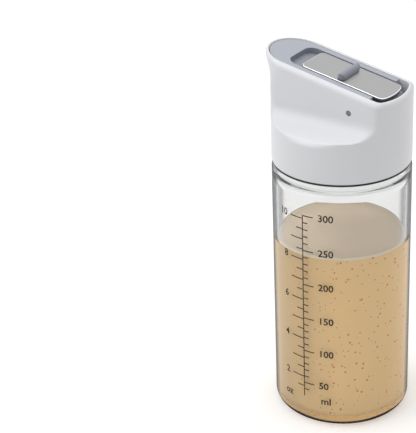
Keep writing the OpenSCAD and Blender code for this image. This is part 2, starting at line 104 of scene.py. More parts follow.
class Paint:
    def __init__(self, owner):
        owner.use_nodes = True
        self.tree = owner.node_tree
        self.tree.nodes.clear()

    def node(self, kind, settings=None, inputs=None, out=0):
        made = self.tree.nodes.new("ShaderNode" + kind)
        for name, value in (settings or {}).items():
            setattr(made, name, value)
        for name, value in (inputs or {}).items():
            socket = made.inputs[name]
            if isinstance(value, Signal):
                self.tree.links.new(value.socket, socket)
            elif socket.type == "RGBA":
                socket.default_value = (*value, 1)
            else:
                socket.default_value = value
        return Signal(self, made.outputs[out])

    def place(self, scale=(1, 1, 1), turn=(0, 0, 0)):
        where = self.node("TexCoord", out="Object")
        return self.node("Mapping", {}, {"Vector": where, "Scale": scale, "Rotation": turn})

    def mixed(self, mask, first, second):
        # The sockets of a colour Mix node are known by their numbers
        colours = {0: mask, 6: first, 7: second}
        return self.node("Mix", {"data_type": "RGBA"}, colours, 2)

    def noise(self, size, detail=2, scale=(1, 1, 1)):
        return self.node("TexNoise", {}, {
            "Vector": self.place(scale), "Scale": 1 / (size * mm), "Detail": detail})

    def bump(self, height, depth, strength=1):
        return self.node("Bump", {}, {
            "Height": height, "Distance": depth * mm, "Strength": strength})

    def finish(self, surface, volume=None, kind="Material"):
        ends = {"Surface": surface}
        if volume:
            ends["Volume"] = volume
        made = self.tree.nodes.new("ShaderNodeOutput" + kind)
        for name, signal in ends.items():
            self.tree.links.new(signal.socket, made.inputs[name])


# Materials

plastic = {"cloudSize": 9, "cloudDetail": 3, "grainDetail": 4, "roughSpan": 0.12, "ior": 1.48}


def moulded(name, look):
    # Moulded plastic or silicone: a faint cloud in the colour and a fine grain
    material = bpy.data.materials.new(name)
    paint = Paint(material)
    tone = look["tone"]
    shade = tuple(c * (1 - look["cloud"]) for c in tone)
    cloud = paint.noise(plastic["cloudSize"], plastic["cloudDetail"])
    colour = paint.mixed(cloud, tone, shade)
    grain = paint.noise(look["grain"], plastic["grainDetail"])
    span = plastic["roughSpan"]
    surface = paint.node("BsdfPrincipled", {}, {
        "Base Color": colour,
        "Roughness": grain * span + (look["rough"] - span / 2),
        "IOR": plastic["ior"],
        "Normal": paint.bump(grain, look["relief"])})
    paint.finish(surface)
    return material


looks = {
    "lidPlastic": {"tone": (0.76, 0.765, 0.79), "cloud": 0.02, "grain": 0.35,
                   "rough": 0.36, "relief": 0.006},
    "capPlastic": {"tone": (0.72, 0.725, 0.735), "cloud": 0.03, "grain": 0.3,
                   "rough": 0.5, "relief": 0.01},
    "leverPlastic": {"tone": (0.40, 0.42, 0.475), "cloud": 0.03, "grain": 0.25,
                     "rough": 0.42, "relief": 0.008},
    "recessPaintedShade": {"tone": (0.30, 0.315, 0.36), "cloud": 0.04, "grain": 0.25,
                      "rough": 0.5, "relief": 0.01},
    "ribPlastic": {"tone": (0.275, 0.292, 0.335), "cloud": 0.05, "grain": 0.3,
                   "rough": 0.5, "relief": 0.012},
    "silicone": {"tone": (0.55, 0.56, 0.58), "cloud": 0.04, "grain": 0.5,
                 "rough": 0.6, "relief": 0.008},
    "slotShadowBlack": {"tone": (0.012, 0.012, 0.014), "cloud": 0.1, "grain": 0.4,
                  "rough": 0.7, "relief": 0.006},
    "runnerPlastic": {"tone": (0.3, 0.31, 0.33), "cloud": 0.04, "grain": 0.3,
                      "rough": 0.5, "relief": 0.01},
}


brushing = {"strokeSize": 0.12, "strokeDetail": 5, "stretch": 0.02, "cloudSize": 6,
            "darker": 0.93, "strokeRough": 0.16, "cloudRough": 0.05, "roughBase": 0.1,
            "relief": 0.004}
steels = {
    "plateSteel": {"tone": (0.40, 0.40, 0.405), "rough": 0.36, "along": "x"},
    "plateRimHighlight": {"tone": (0.95, 0.95, 0.96), "rough": 0.45, "along": "x"},
    "pinSteel": {"tone": (0.2, 0.2, 0.21), "rough": 0.35, "along": "z"},
    "wireSteel": {"tone": (0.55, 0.55, 0.55), "rough": 0.3, "along": "z"},
}


def brushedSteel(name, look):
    # Fine parallel brushing: noise drawn out along one axis
    material = bpy.data.materials.new(name)
    paint = Paint(material)
    squeeze = tuple(brushing["stretch"] if axis == look["along"] else 1 for axis in "xyz")
    strokes = paint.noise(brushing["strokeSize"], brushing["strokeDetail"], squeeze)
    cloud = paint.noise(brushing["cloudSize"])
    dark = tuple(c * brushing["darker"] for c in look["tone"])
    uneven = strokes * brushing["strokeRough"] + cloud * brushing["cloudRough"]
    surface = paint.node("BsdfPrincipled", {}, {
        "Base Color": paint.mixed(strokes, dark, look["tone"]),
        "Metallic": 1.0,
        "Roughness": uneven + (look["rough"] - brushing["roughBase"]),
        "Normal": paint.bump(strokes, brushing["relief"])})
    paint.finish(surface)
    return material


# Painted shade on the glass: a dark colour mixed in by slant, from one slant where the jar is
# full, earlier above it, and earlier still at its heel as a painted contact shadow
glassLook = {
    "tint": (0.985, 0.992, 0.99), "ior": 1.47, "absorption": 10.0,
    "rippleSize": 14, "rippleRough": 0.01, "relief": 0.004, "reliefShare": 0.5,
    "edge": (0.03, 0.036, 0.046), "edgeShadeShare": 0.68, "edgeShadeWidth": 0.12,
    "edgeShadeFull": 0.72, "edgeShadeEmpty": 0.12, "edgeShadeHeel": 0.35, "fullTo": 91.0,
    "heelShadeFrom": 0.03, "heelShadeTo": 4.2, "heelShadeShare": 0.3,
}


def clearGlass(name):
    # Clear glass with painted shade at its edges, that lets lamp light through to what it holds
    material = bpy.data.materials.new(name)
    paint = Paint(material)
    ripple = paint.noise(glassLook["rippleSize"], 1)
    glass = paint.node("BsdfPrincipled", {}, {
        "Base Color": glassLook["tint"],
        "Transmission Weight": 1.0,
        "Roughness": ripple * glassLook["rippleRough"],
        "IOR": glassLook["ior"],
        "Normal": paint.bump(ripple, glassLook["relief"], glassLook["reliefShare"])})
    # Painted shade: the dark diffuse below is mixed in where the glass is seen at a slant
    facing = paint.node("LayerWeight", {}, {"Blend": 0.5}, "Facing")
    height = paint.node("SeparateXYZ", {}, {0: paint.place()}, "Z")
    empty = height > glassLook["fullTo"] * mm
    # Painted contact shadow: the edge shade reaches further and darker at the jar's heel
    heel = (height < glassLook["heelShadeTo"] * mm) * (height > glassLook["heelShadeFrom"] * mm)
    start = glassLook["edgeShadeFull"] - empty * glassLook["edgeShadeEmpty"]
    start = start - heel * glassLook["edgeShadeHeel"]
    ramp = (facing - start) * (1 / glassLook["edgeShadeWidth"])
    share = heel * glassLook["heelShadeShare"] + glassLook["edgeShadeShare"]
    paintedEdgeShade = ramp.math("MAXIMUM", 0).math("MINIMUM", 1) * share
    edge = paint.node("BsdfDiffuse", {}, {"Color": glassLook["edge"]})
    solid = paint.node("MixShader", {}, {0: paintedEdgeShade, 1: glass, 2: edge})
    clear = paint.node("BsdfTransparent")
    shadowRay = paint.node("LightPath", out="Is Shadow Ray")
    depth = paint.node("VolumeAbsorption", {}, {
        "Color": (0, 0, 0), "Density": glassLook["absorption"]})
    paint.finish(paint.node("MixShader", {}, {0: shadowRay, 1: solid, 2: clear}), depth)
    return material


# Cream, flecks, painted shade on the side away from the brighter half of the room, and a painted
# glow
sauceLook = {
    "cloudSize": 16, "cloudDetail": 3, "light": (0.97, 0.69, 0.335), "dark": (0.92, 0.625, 0.285),
    "paprika": {"size": 4.2, "reach": 0.135, "tone": (0.64, 0.21, 0.05)},
    "pepper": {"size": 2.9, "reach": 0.14, "tone": (0.54, 0.33, 0.14)},
    "fleckShare": 0.85, "roughSpan": 0.1, "rough": 0.4, "relief": 0.05,
    "sideShadeTurn": (0, 0, math.radians(150)), "sideShadeOver": 24, "sideShadeStart": 0.1,
    "sideShadeTone": (0.66, 0.465, 0.23), "paintedGlow": 0.075, "basePaintedGlow": 0.4,
}
sauceTops = {
    "dressingTop": {"light": (0.92, 0.735, 0.52), "dark": (0.86, 0.67, 0.46)},
    "dressingEdgeHighlight": {"light": (1.0, 0.89, 0.70), "dark": (1.0, 0.86, 0.66)},
}
topLook = {"cloudSize": 8, "cloudDetail": 3, "roughSpan": 0.1, "rough": 0.35, "relief": 0.03}
inkLook = {"wearSize": 0.6, "wearDetail": 3, "light": (0.012, 0.008, 0.006),
           "dark": (0.022, 0.016, 0.012), "roughSpan": 0.15, "rough": 0.5, "gloss": 0.2}


def saladDressing(name, paintedGlow):
    # Creamy tan sauce with spice flecks of two kinds, painted shade on one side, and a painted
    # glow from its emission
    material = bpy.data.materials.new(name)
    paint = Paint(material)
    look = sauceLook
    cloud = paint.noise(look["cloudSize"], look["cloudDetail"])
    colour = paint.mixed(cloud, look["light"], look["dark"])
    for fleck in (look["paprika"], look["pepper"]):
        speck = paint.node("TexVoronoi", {}, {
            "Vector": paint.place(), "Scale": 1 / (fleck["size"] * mm), "Randomness": 1.0})
        colour = paint.mixed((speck < fleck["reach"]) * look["fleckShare"], colour,
                             fleck["tone"])
    # Painted shade: the dressing grows darker towards one side
    across = paint.node("SeparateXYZ", {}, {0: paint.place(turn=look["sideShadeTurn"])}, "X")
    sideShade = (across * (1 / (look["sideShadeOver"] * mm)) - look["sideShadeStart"]).math("MAXIMUM", 0)
    colour = paint.mixed(sideShade.math("MINIMUM", 1), colour, look["sideShadeTone"])
    # The emission is a painted glow
    surface = paint.node("BsdfPrincipled", {}, {
        "Base Color": colour, "Emission Color": colour, "Emission Strength": paintedGlow,
        "Roughness": cloud * look["roughSpan"] + look["rough"],
        "Normal": paint.bump(cloud, look["relief"])})
    paint.finish(surface)
    return material


def sauceTop(name, tones):
    # The smooth paler top of the dressing, or its edge, whose lighter cream is a painted
    # highlight
    material = bpy.data.materials.new(name)
    paint = Paint(material)
    cloud = paint.noise(topLook["cloudSize"], topLook["cloudDetail"])
    surface = paint.node("BsdfPrincipled", {}, {
        "Base Color": paint.mixed(cloud, tones["light"], tones["dark"]),
        "Roughness": cloud * topLook["roughSpan"] + topLook["rough"],
        "Normal": paint.bump(cloud, topLook["relief"])})
    paint.finish(surface)
    return material


def printedInk(name):
    material = bpy.data.materials.new(name)
    paint = Paint(material)
    worn = paint.noise(inkLook["wearSize"], inkLook["wearDetail"])
    surface = paint.node("BsdfPrincipled", {}, {
        "Base Color": paint.mixed(worn, inkLook["light"], inkLook["dark"]),
        "Roughness": worn * inkLook["roughSpan"] + inkLook["rough"],
        "Specular IOR Level": inkLook["gloss"]})
    paint.finish(surface)
    return material


materials = {name: moulded(name, look) for name, look in looks.items()}
materials.update({name: brushedSteel(name, look) for name, look in steels.items()})
materials["jarGlass"] = clearGlass("jarGlass")
materials["dressing"] = saladDressing("dressing", sauceLook["paintedGlow"])
materials["dressingBasePaintedGlow"] = saladDressing("dressingBasePaintedGlow", sauceLook["basePaintedGlow"])
materials.update({name: sauceTop(name, tones) for name, tones in sauceTops.items()})
materials["ink"] = printedInk("ink")
print("materials made:", len(materials))


# Mesh helpers

softening = {"merge": 0.002, "flatAngle": 0.6, "hardAngle": 28, "segments": 3, "sharp": 40}


def arcPoints(x, y, rx, ry, start, end, count):
    turns = [math.radians(start + (end - start) * i / count) for i in range(count + 1)]
    return [(x + rx * math.cos(a), y + ry * math.sin(a)) for a in turns]


def lathe(profile, steps=192, closed=True):
    bm = bmesh.new()
    dots = [bm.verts.new((x * mm, 0, z * mm)) for x, z in profile]
    pairs = list(zip(dots, dots[1:])) + ([(dots[-1], dots[0])] if closed else [])
    lines = [bm.edges.new(pair) for pair in pairs]
    bmesh.ops.spin(bm, geom=dots + lines, cent=(0, 0, 0), axis=(0, 0, 1),
                   angle=math.tau, steps=steps, use_merge=True)
    bmesh.ops.remove_doubles(bm, verts=bm.verts, dist=0.001 * mm)
    return bm


def skin(rings, closed):
    # Circles moved to the rings given, and bridged into one surface
    bm = bmesh.new()
    loops = []
    for ring in rings:
        dots = bmesh.ops.create_circle(bm, segments=len(ring), radius=mm)["verts"]
        for dot, place in zip(dots, ring):
            dot.co = Vector(place) * mm
        loops.append(list({edge for dot in dots for edge in dot.link_edges}))
    following = loops[1:] + (loops[:1] if closed else [])
    for one, other in zip(loops, following):
        bmesh.ops.bridge_loops(bm, edges=one + other)
    if not closed:
        bmesh.ops.holes_fill(bm, edges=loops[0] + loops[-1], sides=0)
    return bm


def addPiece(name, bm, material, body, replaced=(), sharp=32):
    bmesh.ops.recalc_face_normals(bm, faces=bm.faces)
    mesh = bpy.data.meshes.new(name)
    bm.to_mesh(mesh)
    bm.free()
    mesh.shade_smooth()
    mesh.set_sharp_from_angle(angle=math.radians(sharp))
    mesh.materials.append(materials[material])
    piece = bpy.data.objects.new(name, mesh)
    scene.collection.objects.link(piece)
    if replaced:
        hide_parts(*replaced)
    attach(piece, body)
    return piece


def softened(name, node, width, material, body, slotName):
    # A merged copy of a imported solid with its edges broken, as moulding leaves them
    bm = bmesh.new()
    bm.from_mesh(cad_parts[node].data)
    bmesh.ops.remove_doubles(bm, verts=bm.verts, dist=softening["merge"] * mm)
    bmesh.ops.dissolve_limit(bm, angle_limit=math.radians(softening["flatAngle"]),
                             verts=bm.verts, edges=bm.edges)
    bmesh.ops.recalc_face_normals(bm, faces=bm.faces)
    least = math.radians(softening["hardAngle"])
    hard = [e for e in bm.edges if e.is_manifold and e.calc_face_angle() > least]
    bmesh.ops.bevel(bm, geom=hard, offset=width * mm, offset_type="OFFSET",
                    segments=softening["segments"], profile=0.5, affect="EDGES",
                    clamp_overlap=True, material=-1)
    piece = addPiece(name, bm, material, body, (node,), softening["sharp"])
    weighted = piece.modifiers.new("evenShading", "WEIGHTED_NORMAL")
    weighted.keep_sharp = True
    return piece


# Glass jar

jar = {
    "wall": 2.7, "baseThick": 4.4, "baseCorner": 5.1, "floorCorner": 4.0,
    "shoulderTop": 128.6, "shoulderCorner": 3.0, "domeDepth": 2.8, "domeHeight": 6.0,
    "neckRadius": 25.9, "neckWall": 3.4, "lip": 0.7,
    "domeTurn": 80, "domeSteps": 20, "heelSteps": 16, "cornerSteps": 14, "filletSteps": 5,
    "lipSteps": 6, "steps": 224,
}
insideRadius = bodyRadius - jar["wall"]


def makeJar():
    corner, lip = jar["baseCorner"], jar["lip"]
    shoulder, top = jar["shoulderCorner"], jar["shoulderTop"]
    neck, bore = jar["neckRadius"], jar["neckRadius"] - jar["neckWall"]
    dome, height = top - jar["domeDepth"], jar["domeHeight"]
    floor, well = jar["baseThick"], jar["floorCorner"]
    heelSteps, cornerSteps, lipSteps = jar["heelSteps"], jar["cornerSteps"], jar["lipSteps"]
    profile = (
        [(0, 0)]
        + arcPoints(bodyRadius - corner, corner, corner, corner, -90, 0, heelSteps)
        + arcPoints(bodyRadius - shoulder, top - shoulder, shoulder, shoulder, 0, 90,
                    cornerSteps)
        + arcPoints(neck + lip, top + lip, lip, lip, -90, -180, jar["filletSteps"])
        + arcPoints(neck - lip, neckTop - lip, lip, lip, 0, 90, lipSteps)
        + arcPoints(bore + lip, neckTop - lip, lip, lip, 90, 180, lipSteps)
        + [(bore, dome + lip)]
        + arcPoints(bore, dome - height, insideRadius - bore, height, jar["domeTurn"], 0,
                    jar["domeSteps"])
        + arcPoints(insideRadius - well, floor + well, well, well, 0, -90, cornerSteps)
        + [(0, floor)]
    )
    addPiece("glassJar", lathe(profile, jar["steps"], closed=False), "jarGlass", "jar",
             ("glass_jar",), 60)


# Dressing, which wets the glass as a real one does

filling = {"level": 91.6, "wet": 0.04, "meniscus": 0.55, "edge": 0.9, "topFacing": 0.3,
           "baseFacing": -0.95, "cornerSteps": 10, "edgeSteps": 6, "steps": 160}


def makeDressing():
    # It reaches a hair into the jar's inside face
    rise, top = filling["meniscus"], filling["level"]
    radius, corner = insideRadius + filling["wet"], jar["floorCorner"] + filling["wet"]
    low = jar["baseThick"] - filling["wet"]
    middle = insideRadius - jar["floorCorner"]
    profile = (
        [(0, low)]
        + arcPoints(middle, low + corner, corner, corner, -90, 0, filling["cornerSteps"])
        + [(radius, top - filling["edge"])]
        + arcPoints(radius - rise * 2, top + rise, rise * 2, rise, 0, -90,
                    filling["edgeSteps"])
        + [(0, top)]
    )
    piece = addPiece("dressing", lathe(profile, filling["steps"], closed=False), "dressing",
                     "jar", (), 50)
    # The meniscus faces get a painted highlight, the underside faces a painted glow
    for name in ("dressingTop", "dressingEdgeHighlight", "dressingBasePaintedGlow"):
        piece.data.materials.append(materials[name])
    for face in piece.data.polygons:
        x, y, z = face.center / mm
        if math.hypot(x, y) > radius - rise * 2 and z > top - filling["edge"]:
            face.material_index = 2
        elif face.normal.z > filling["topFacing"]:
            face.material_index = 1
        elif face.normal.z < filling["baseFacing"]:
            face.material_index = 3


# Screw thread: one ridge on the neck, one in the cap, half a pitch apart

screw = {"pitch": 5.0, "turns": 1.6, "height": 1.25, "foot": 2.2, "crest": 0.9,
         "neckStart": 132.2, "capStart": 131.6, "capRadius": 27.7, "rooted": 0.15,
         "fade": 9, "steps": 72}


def makeThread(name, wall, outward, start, startTurn, material, body):
    rings = []
    count = int(screw["steps"] * screw["turns"])
    for i in range(count + 1):
        share = i / count
        fade = min(1, share * screw["fade"], (1 - share) * screw["fade"])
        angle = startTurn + math.tau * screw["turns"] * share
        z = start + screw["pitch"] * screw["turns"] * share
        crest = wall + outward * screw["height"] * fade
        root = wall - outward * screw["rooted"]
        corners = (
            (root, -screw["foot"] / 2), (crest, -screw["crest"] / 2),
            (crest, screw["crest"] / 2), (root, screw["foot"] / 2))
        rings.append([
            (r * math.cos(angle), r * math.sin(angle), z + dz) for r, dz in corners])
    addPiece(name, skin(rings, closed=False), material, body, (), 40)


# Lid shell, as rings from the skirt's edge over the rim and down the well

shell = {
    "points": 240, "slope": 11.0, "skirtWall": 2.5, "hollowWall": 2.0, "skirtEdge": 0.7,
    "skirtLift": 0.45, "skirtBreak": 0.4,
    "shelf": 149.5, "shelfRise": 7.5, "shelfEdge": 3.8, "housing": 22.2,
    "shelfFade": 8, "fadePower": 6, "edgeRoom": 1.1, "scoopTop": 84,
    "riseSteps": 18, "throatSteps": 6, "leastRoll": 0.05,
    "wellY": 13.85, "sideWall": 3.15, "rearWall": 2.1, "tipWall": 1.2, "throatWall": 2.4,
    "reach": 37.5, "rim": 2.4, "tipRim": 0.6, "innerEdge": 0.3,
    "tipDepth": 1.93, "throatDepth": 11.5, "flareStart": 0.4, "flarePower": 1.9,
    "cornerPower": 37, "wellPower": 35, "pinFit": 0.03, "slip": 0.03,
}
flatY = shell["wellY"] + shell["sideWall"]
topZ = shell["shelf"] + shell["housing"]
footZ = shell["shelf"] + shell["shelfRise"]
wellTip = shell["reach"] - shell["tipWall"]
throatTip = bodyRadius - shell["throatWall"]


def rimZ(x):
    return topZ - x * math.tan(math.radians(shell["slope"]))


def ease(t):
    k = max(0, min(1, t))
    return k * k * (3 - 2 * k)


def drawnIn(a, radius, half, power):
    return ((1 / radius) ** power + (abs(math.sin(a)) / half) ** power) ** (-1 / power)


def nosed(a, reach, half, radius, power):
    # A round nose of the half width given, then flats, then the round rear
    middle, c, s = reach - half, math.cos(a), math.sin(a)
    if c < 0 and abs(s) * middle < -c * half:
        return -middle * c + math.sqrt(half * half - middle * middle * s * s)
    return drawnIn(a, radius, half, power)


def ringOf(radiusAt):
    count = shell["points"]
    turns = [math.tau * i / count for i in range(count)]
    return [(radiusAt(a) * math.cos(a), radiusAt(a) * math.sin(a)) for a in turns]


def outline(half, nose):
    power = shell["cornerPower"]

    def radiusAt(a):
        plain = drawnIn(a, bodyRadius, half, power)
        return plain + (nosed(a, shell["reach"], flatY, bodyRadius, power) - plain) * nose
    return ringOf(radiusAt)


def wellOutline(tip):
    rear = bodyRadius - shell["rearWall"]
    return ringOf(lambda a: nosed(a, tip, shell["wellY"], rear, shell["wellPower"]))


def inset(ring, distance):
    count = len(ring)
    moved = []
    for i, (x, y) in enumerate(ring):
        before, after = ring[i - 1], ring[(i + 1) % count]
        along = Vector((after[0] - before[0], after[1] - before[1])).normalized()
        moved.append((x - distance * along.y, y + distance * along.x))
    return moved


def rimAt(x, y):
    # The rim is rounded less beside the spout's tip
    small, full = shell["tipRim"], shell["rim"]
    return full if x > 0 else small + (full - small) * ease(abs(y) / flatY)


def rolled(ring, core, turn):
    # The rim's rounding, which narrows where the wall is thin
    count = len(ring)
    moved = []
    for i, (x, y) in enumerate(ring):
        before, after = ring[i - 1], ring[(i + 1) % count]
        along = Vector((after[0] - before[0], after[1] - before[1])).normalized()
        inward = Vector((core[i][0] - x, core[i][1] - y))
        wall = inward.dot(Vector((-along.y, along.x)))
        radius = rimAt(x, y)
        room = wall - shell["innerEdge"] - shell["leastRoll"]
        share = min(radius, room) / wall * (1 - math.cos(turn))
        drawn = Vector((x, y)) + inward * share
        moved.append((drawn.x, drawn.y, rimZ(drawn.x) - radius * (1 - math.sin(turn))))
    return moved


def level(ring, z):
    return [(x, y, z) for x, y in ring]


def below(ring, depth):
    return [(x, y, rimZ(x) - depth) for x, y in ring]


def risen(t):
    u = max(0, (t - shell["flareStart"]) / (1 - shell["flareStart"]))
    flare = (u ** shell["flarePower"] + ease(u)) / 2
    return [(x, y, footZ + (rimZ(x) - rimAt(x, y) - footZ) * t)
            for x, y in outline(flatY, flare)]


def quarter(step, start=0):
    # The angles of a quarter turn, in radians
    return [math.radians(a) for a in range(start, 91, step)]


def shellRings():
    edge, inner = shell["skirtEdge"], shell["innerEdge"]
    shelf, rise, roll = shell["shelf"], shell["shelfRise"], shell["shelfEdge"]
    lowest = skirtLow + shell["skirtLift"]
    body = outline(3 * bodyRadius, 0)
    rings = []
    for turn in quarter(30):
        rings.append(level(inset(body, edge * (1 - math.sin(turn))),
                           lowest + edge * (1 - math.cos(turn))))
    rings.append(level(body, shelf - shell["shelfFade"]))
    rings.append(level(body, shelf - roll * shell["edgeRoom"]))
    for turn in quarter(5, 5):
        fade = shell["shelfFade"] * (1 - turn / math.radians(90)) ** shell["fadePower"]
        half = bodyRadius - roll * (1 - math.cos(turn)) + fade
        rings.append(level(outline(half, 0), shelf - roll * (1 - math.sin(turn))))
    for a in range(shell["scoopTop"], -1, -6):
        turn = math.radians(a)
        half = bodyRadius - roll + (flatY - bodyRadius + roll) * math.cos(turn)
        rings.append(level(outline(half, 0), footZ - rise * math.sin(turn)))
    for i in range(1, shell["riseSteps"] + 1):
        rings.append(risen(i / shell["riseSteps"]))
    top, well = outline(flatY, 1), wellOutline(wellTip)
    for turn in quarter(9, 9):
        rings.append(rolled(top, well, turn))
    for turn in reversed(quarter(30)):
        drawn = inset(well, -inner * (1 - math.cos(turn)))
        rings.append(below(drawn, inner * (1 - math.sin(turn)) + shell["slip"]))
    rings.append(below(well, shell["tipDepth"]))
    for i in range(1, shell["throatSteps"] + 1):
        t = i / shell["throatSteps"]
        tip = wellTip + (throatTip - wellTip) * t
        depth = shell["tipDepth"] + (shell["throatDepth"] - shell["tipDepth"]) * t
        rings.append(below(wellOutline(tip), depth))
    wall, slip, small = shell["skirtWall"], shell["slip"], shell["skirtBreak"]
    rings.append(level(wellOutline(throatTip), roofTop + slip))
    rings.append(level(inset(body, shell["hollowWall"]), roofTop))
    rings.append(level(inset(body, wall), lowest + small))
    rings.append(level(inset(body, wall - small), lowest + slip))
    return rings


slotShadowRing = {"low": 0.1, "high": 1.05, "outer": 0.25, "width": 2.0, "round": 0.12,
            "cornerSteps": 3}


def makeSkirtLip():
    # A near-black ring in the slot between the skirt and the shoulder, a painted shadow where the
    # slot lies in shade
    small = slotShadowRing["round"]
    outer = bodyRadius - slotShadowRing["outer"]
    inner, bottom = outer - slotShadowRing["width"], jar["shoulderTop"] + slotShadowRing["low"]
    top, steps = bottom + slotShadowRing["high"], slotShadowRing["cornerSteps"]
    profile = (
        arcPoints(outer - small, bottom + small, small, small, -90, 0, steps)
        + arcPoints(outer - small, top - small, small, small, 0, 90, steps)
        + [(inner, top), (inner, bottom)]
    )
    addPiece("slotShadowRing", lathe(profile), "slotShadowBlack", "lid")


drillSize = {"segments": 48, "length": 80}


def drilled(piece, x, z, radius):
    # Cuts the pin's hole straight through both side walls
    bm = bmesh.new()
    turn = Matrix.Translation((x * mm, 0, z * mm)) @ Matrix.Rotation(math.pi / 2, 4, "X")
    bmesh.ops.create_cone(bm, cap_ends=True, segments=drillSize["segments"],
                          radius1=radius * mm, radius2=radius * mm,
                          depth=drillSize["length"] * mm, matrix=turn)
    mesh = bpy.data.meshes.new("drill")
    bm.to_mesh(mesh)
    bm.free()
    drill = bpy.data.objects.new("drill", mesh)
    scene.collection.objects.link(drill)
    cut = piece.modifiers.new("pinHole", "BOOLEAN")
    cut.operation, cut.solver, cut.object = "DIFFERENCE", "EXACT", drill
    bpy.context.view_layer.update()
    shape = piece.evaluated_get(bpy.context.evaluated_depsgraph_get())
    baked = bpy.data.meshes.new_from_object(shape)
    piece.modifiers.clear()
    piece.data = baked
    bpy.data.objects.remove(drill)


def makeShell():
    piece = addPiece("lidShell", skin(shellRings(), closed=True), "lidPlastic", "lid",
                     ("lid_shell",), 50)
    drilled(piece, pinX, pinZ, pinRadius + shell["pinFit"])


# Return spring, one wire wound from seat to seat

spring = {"turns": 6, "steps": 32, "sides": 12, "wire": 0.7, "coil": 3.2,
          "press": math.radians(12), "spare": 0.1}


def makeSpring():
    lowest, highest = low("lever_spring"), high("lever_spring")
    middle = (lowest.x + highest.x) / 2
    wire, coil = spring["wire"] / 2, spring["coil"]
    climb = highest.z - lowest.z - spring["wire"]
    count = spring["turns"] * spring["steps"]
    bm = bmesh.new()
    seat = Matrix.Translation(((middle + coil) * mm, 0, (lowest.z + wire) * mm))
    ring = bmesh.ops.create_circle(
        bm, segments=spring["sides"], radius=wire * mm,
        matrix=seat @ Matrix.Rotation(math.pi / 2, 4, "X"))["verts"]
    bmesh.ops.spin(bm, geom=ring + bm.edges[:], cent=(middle * mm, 0, 0), axis=(0, 0, 1),
                   dvec=(0, 0, climb / count * mm), angle=math.tau * spring["turns"],
                   steps=count)
    bmesh.ops.holes_fill(bm, edges=[e for e in bm.edges if e.is_boundary], sides=0)
    piece = addPiece("leverSpring", bm, "wireSteel", "lid",
                     ("lever_spring",), 60)
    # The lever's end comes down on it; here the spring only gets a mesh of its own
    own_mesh(piece)


# Printed scale on the glass

scale = {
    "turn": -92.35, "proud": 0.03, "sink": 0.02, "line": 0.5, "tick": 0.5,
    "namedMl": 50, "namedZ": 22.6, "mmPerMl": 0.3584, "mlInOz": 29.57,
    "lineLow": 15.0, "lineHigh": 112.4,
    "leastMl": 40, "mostMl": 300, "mlStep": 10, "mlLong": 5.5, "mlShort": 2.65,
    "leastHalfOz": 3, "mostHalfOz": 20, "ozStep": 2, "ozLong": 6.9, "ozShort": 3.7,
    "mlText": 7.7, "ozText": -9.3, "textSize": 4.9, "textWeight": 0.08,
    "mlUnit": 8.7, "ozUnit": -7.3, "unitSize": 5.2, "unitZ": 14.1,
    "bend": 0.6, "thick": 0.5, "curveSteps": 4,
}


def scaleZ(millilitres):
    return scale["namedZ"] + (millilitres - scale["namedMl"]) * scale["mmPerMl"]


def printBar(bm, left, right, z, height):
    # A flat bar in arc millimetres, cut so that it can follow the curve
    size = Matrix.Diagonal((right - left, 1, height, 1))
    place = Matrix.Translation(((left + right) / 2, 0, z))
    made = bmesh.ops.create_cube(bm, size=1, matrix=place @ size)["verts"]
    lengthwise = [e for e in {e for v in made for e in v.link_edges}
                  if abs(e.verts[0].co.x - e.verts[1].co.x) > scale["bend"]]
    if lengthwise:
        bmesh.ops.subdivide_edges(bm, edges=lengthwise, cuts=max(1, int(right - left)))


def printText(bm, words, x, z, size, align):
    curve = bpy.data.curves.new("numeral", "FONT")
    curve.body, curve.size, curve.align_x = words, size, align
    curve.offset = scale["textWeight"]
    curve.align_y, curve.extrude = "CENTER", scale["thick"]
    curve.resolution_u = scale["curveSteps"]
    label = bpy.data.objects.new("numeral", curve)
    scene.collection.objects.link(label)
    bpy.context.view_layer.update()
    shape = label.evaluated_get(bpy.context.evaluated_depsgraph_get())
    mesh = bpy.data.meshes.new_from_object(shape)
    upright = Matrix.Translation((x, 0, z)) @ Matrix.Rotation(math.pi / 2, 4, "X")
    mesh.transform(upright)
    bm.from_mesh(mesh)
    bpy.data.objects.remove(label)
    bpy.data.meshes.remove(mesh)


def makeScale():
    bm = bmesh.new()
    lineMiddle = (scale["lineLow"] + scale["lineHigh"]) / 2
    half, tick = scale["line"] / 2, scale["tick"]
    printBar(bm, -half, half, lineMiddle, scale["lineHigh"] - scale["lineLow"])
    for ml in range(scale["leastMl"], scale["mostMl"] + 1, scale["mlStep"]):
        reach = scale["mlLong"] if ml % scale["namedMl"] == 0 else scale["mlShort"]
        printBar(bm, half, reach, scaleZ(ml), tick)
    for halves in range(scale["leastHalfOz"], scale["mostHalfOz"] + 1):
        reach = scale["ozLong"] if halves % 2 == 0 else scale["ozShort"]
        printBar(bm, -reach, -half, scaleZ(halves / 2 * scale["mlInOz"]), tick)
    size, step = scale["textSize"], scale["ozStep"]
    for ml in range(scale["namedMl"], scale["mostMl"] + 1, scale["namedMl"]):
        printText(bm, str(ml), scale["mlText"], scaleZ(ml), size, "LEFT")
    for ounces in range(step, scale["mostHalfOz"] // 2 + 1, step):
        printText(bm, str(ounces), scale["ozText"], scaleZ(ounces * scale["mlInOz"]),
                  size, "RIGHT")
    printText(bm, "ml", scale["mlUnit"], scale["unitZ"], scale["unitSize"], "LEFT")
    printText(bm, "oz", scale["ozUnit"], scale["unitZ"], scale["unitSize"], "RIGHT")
    turn = math.radians(scale["turn"])
    for v in bm.verts:
        inner = v.co.y > 0
        radius = bodyRadius + (-scale["sink"] if inner else scale["proud"])
        angle = turn + v.co.x / bodyRadius
        v.co = Vector((radius * math.cos(angle), radius * math.sin(angle), v.co.z)) * mm
    addPiece("printedScale", bm, "ink", "jar", (), 30)


# Painted shade in the lever's recess and a painted highlight on the plate's edge, chosen by place
# and by slant

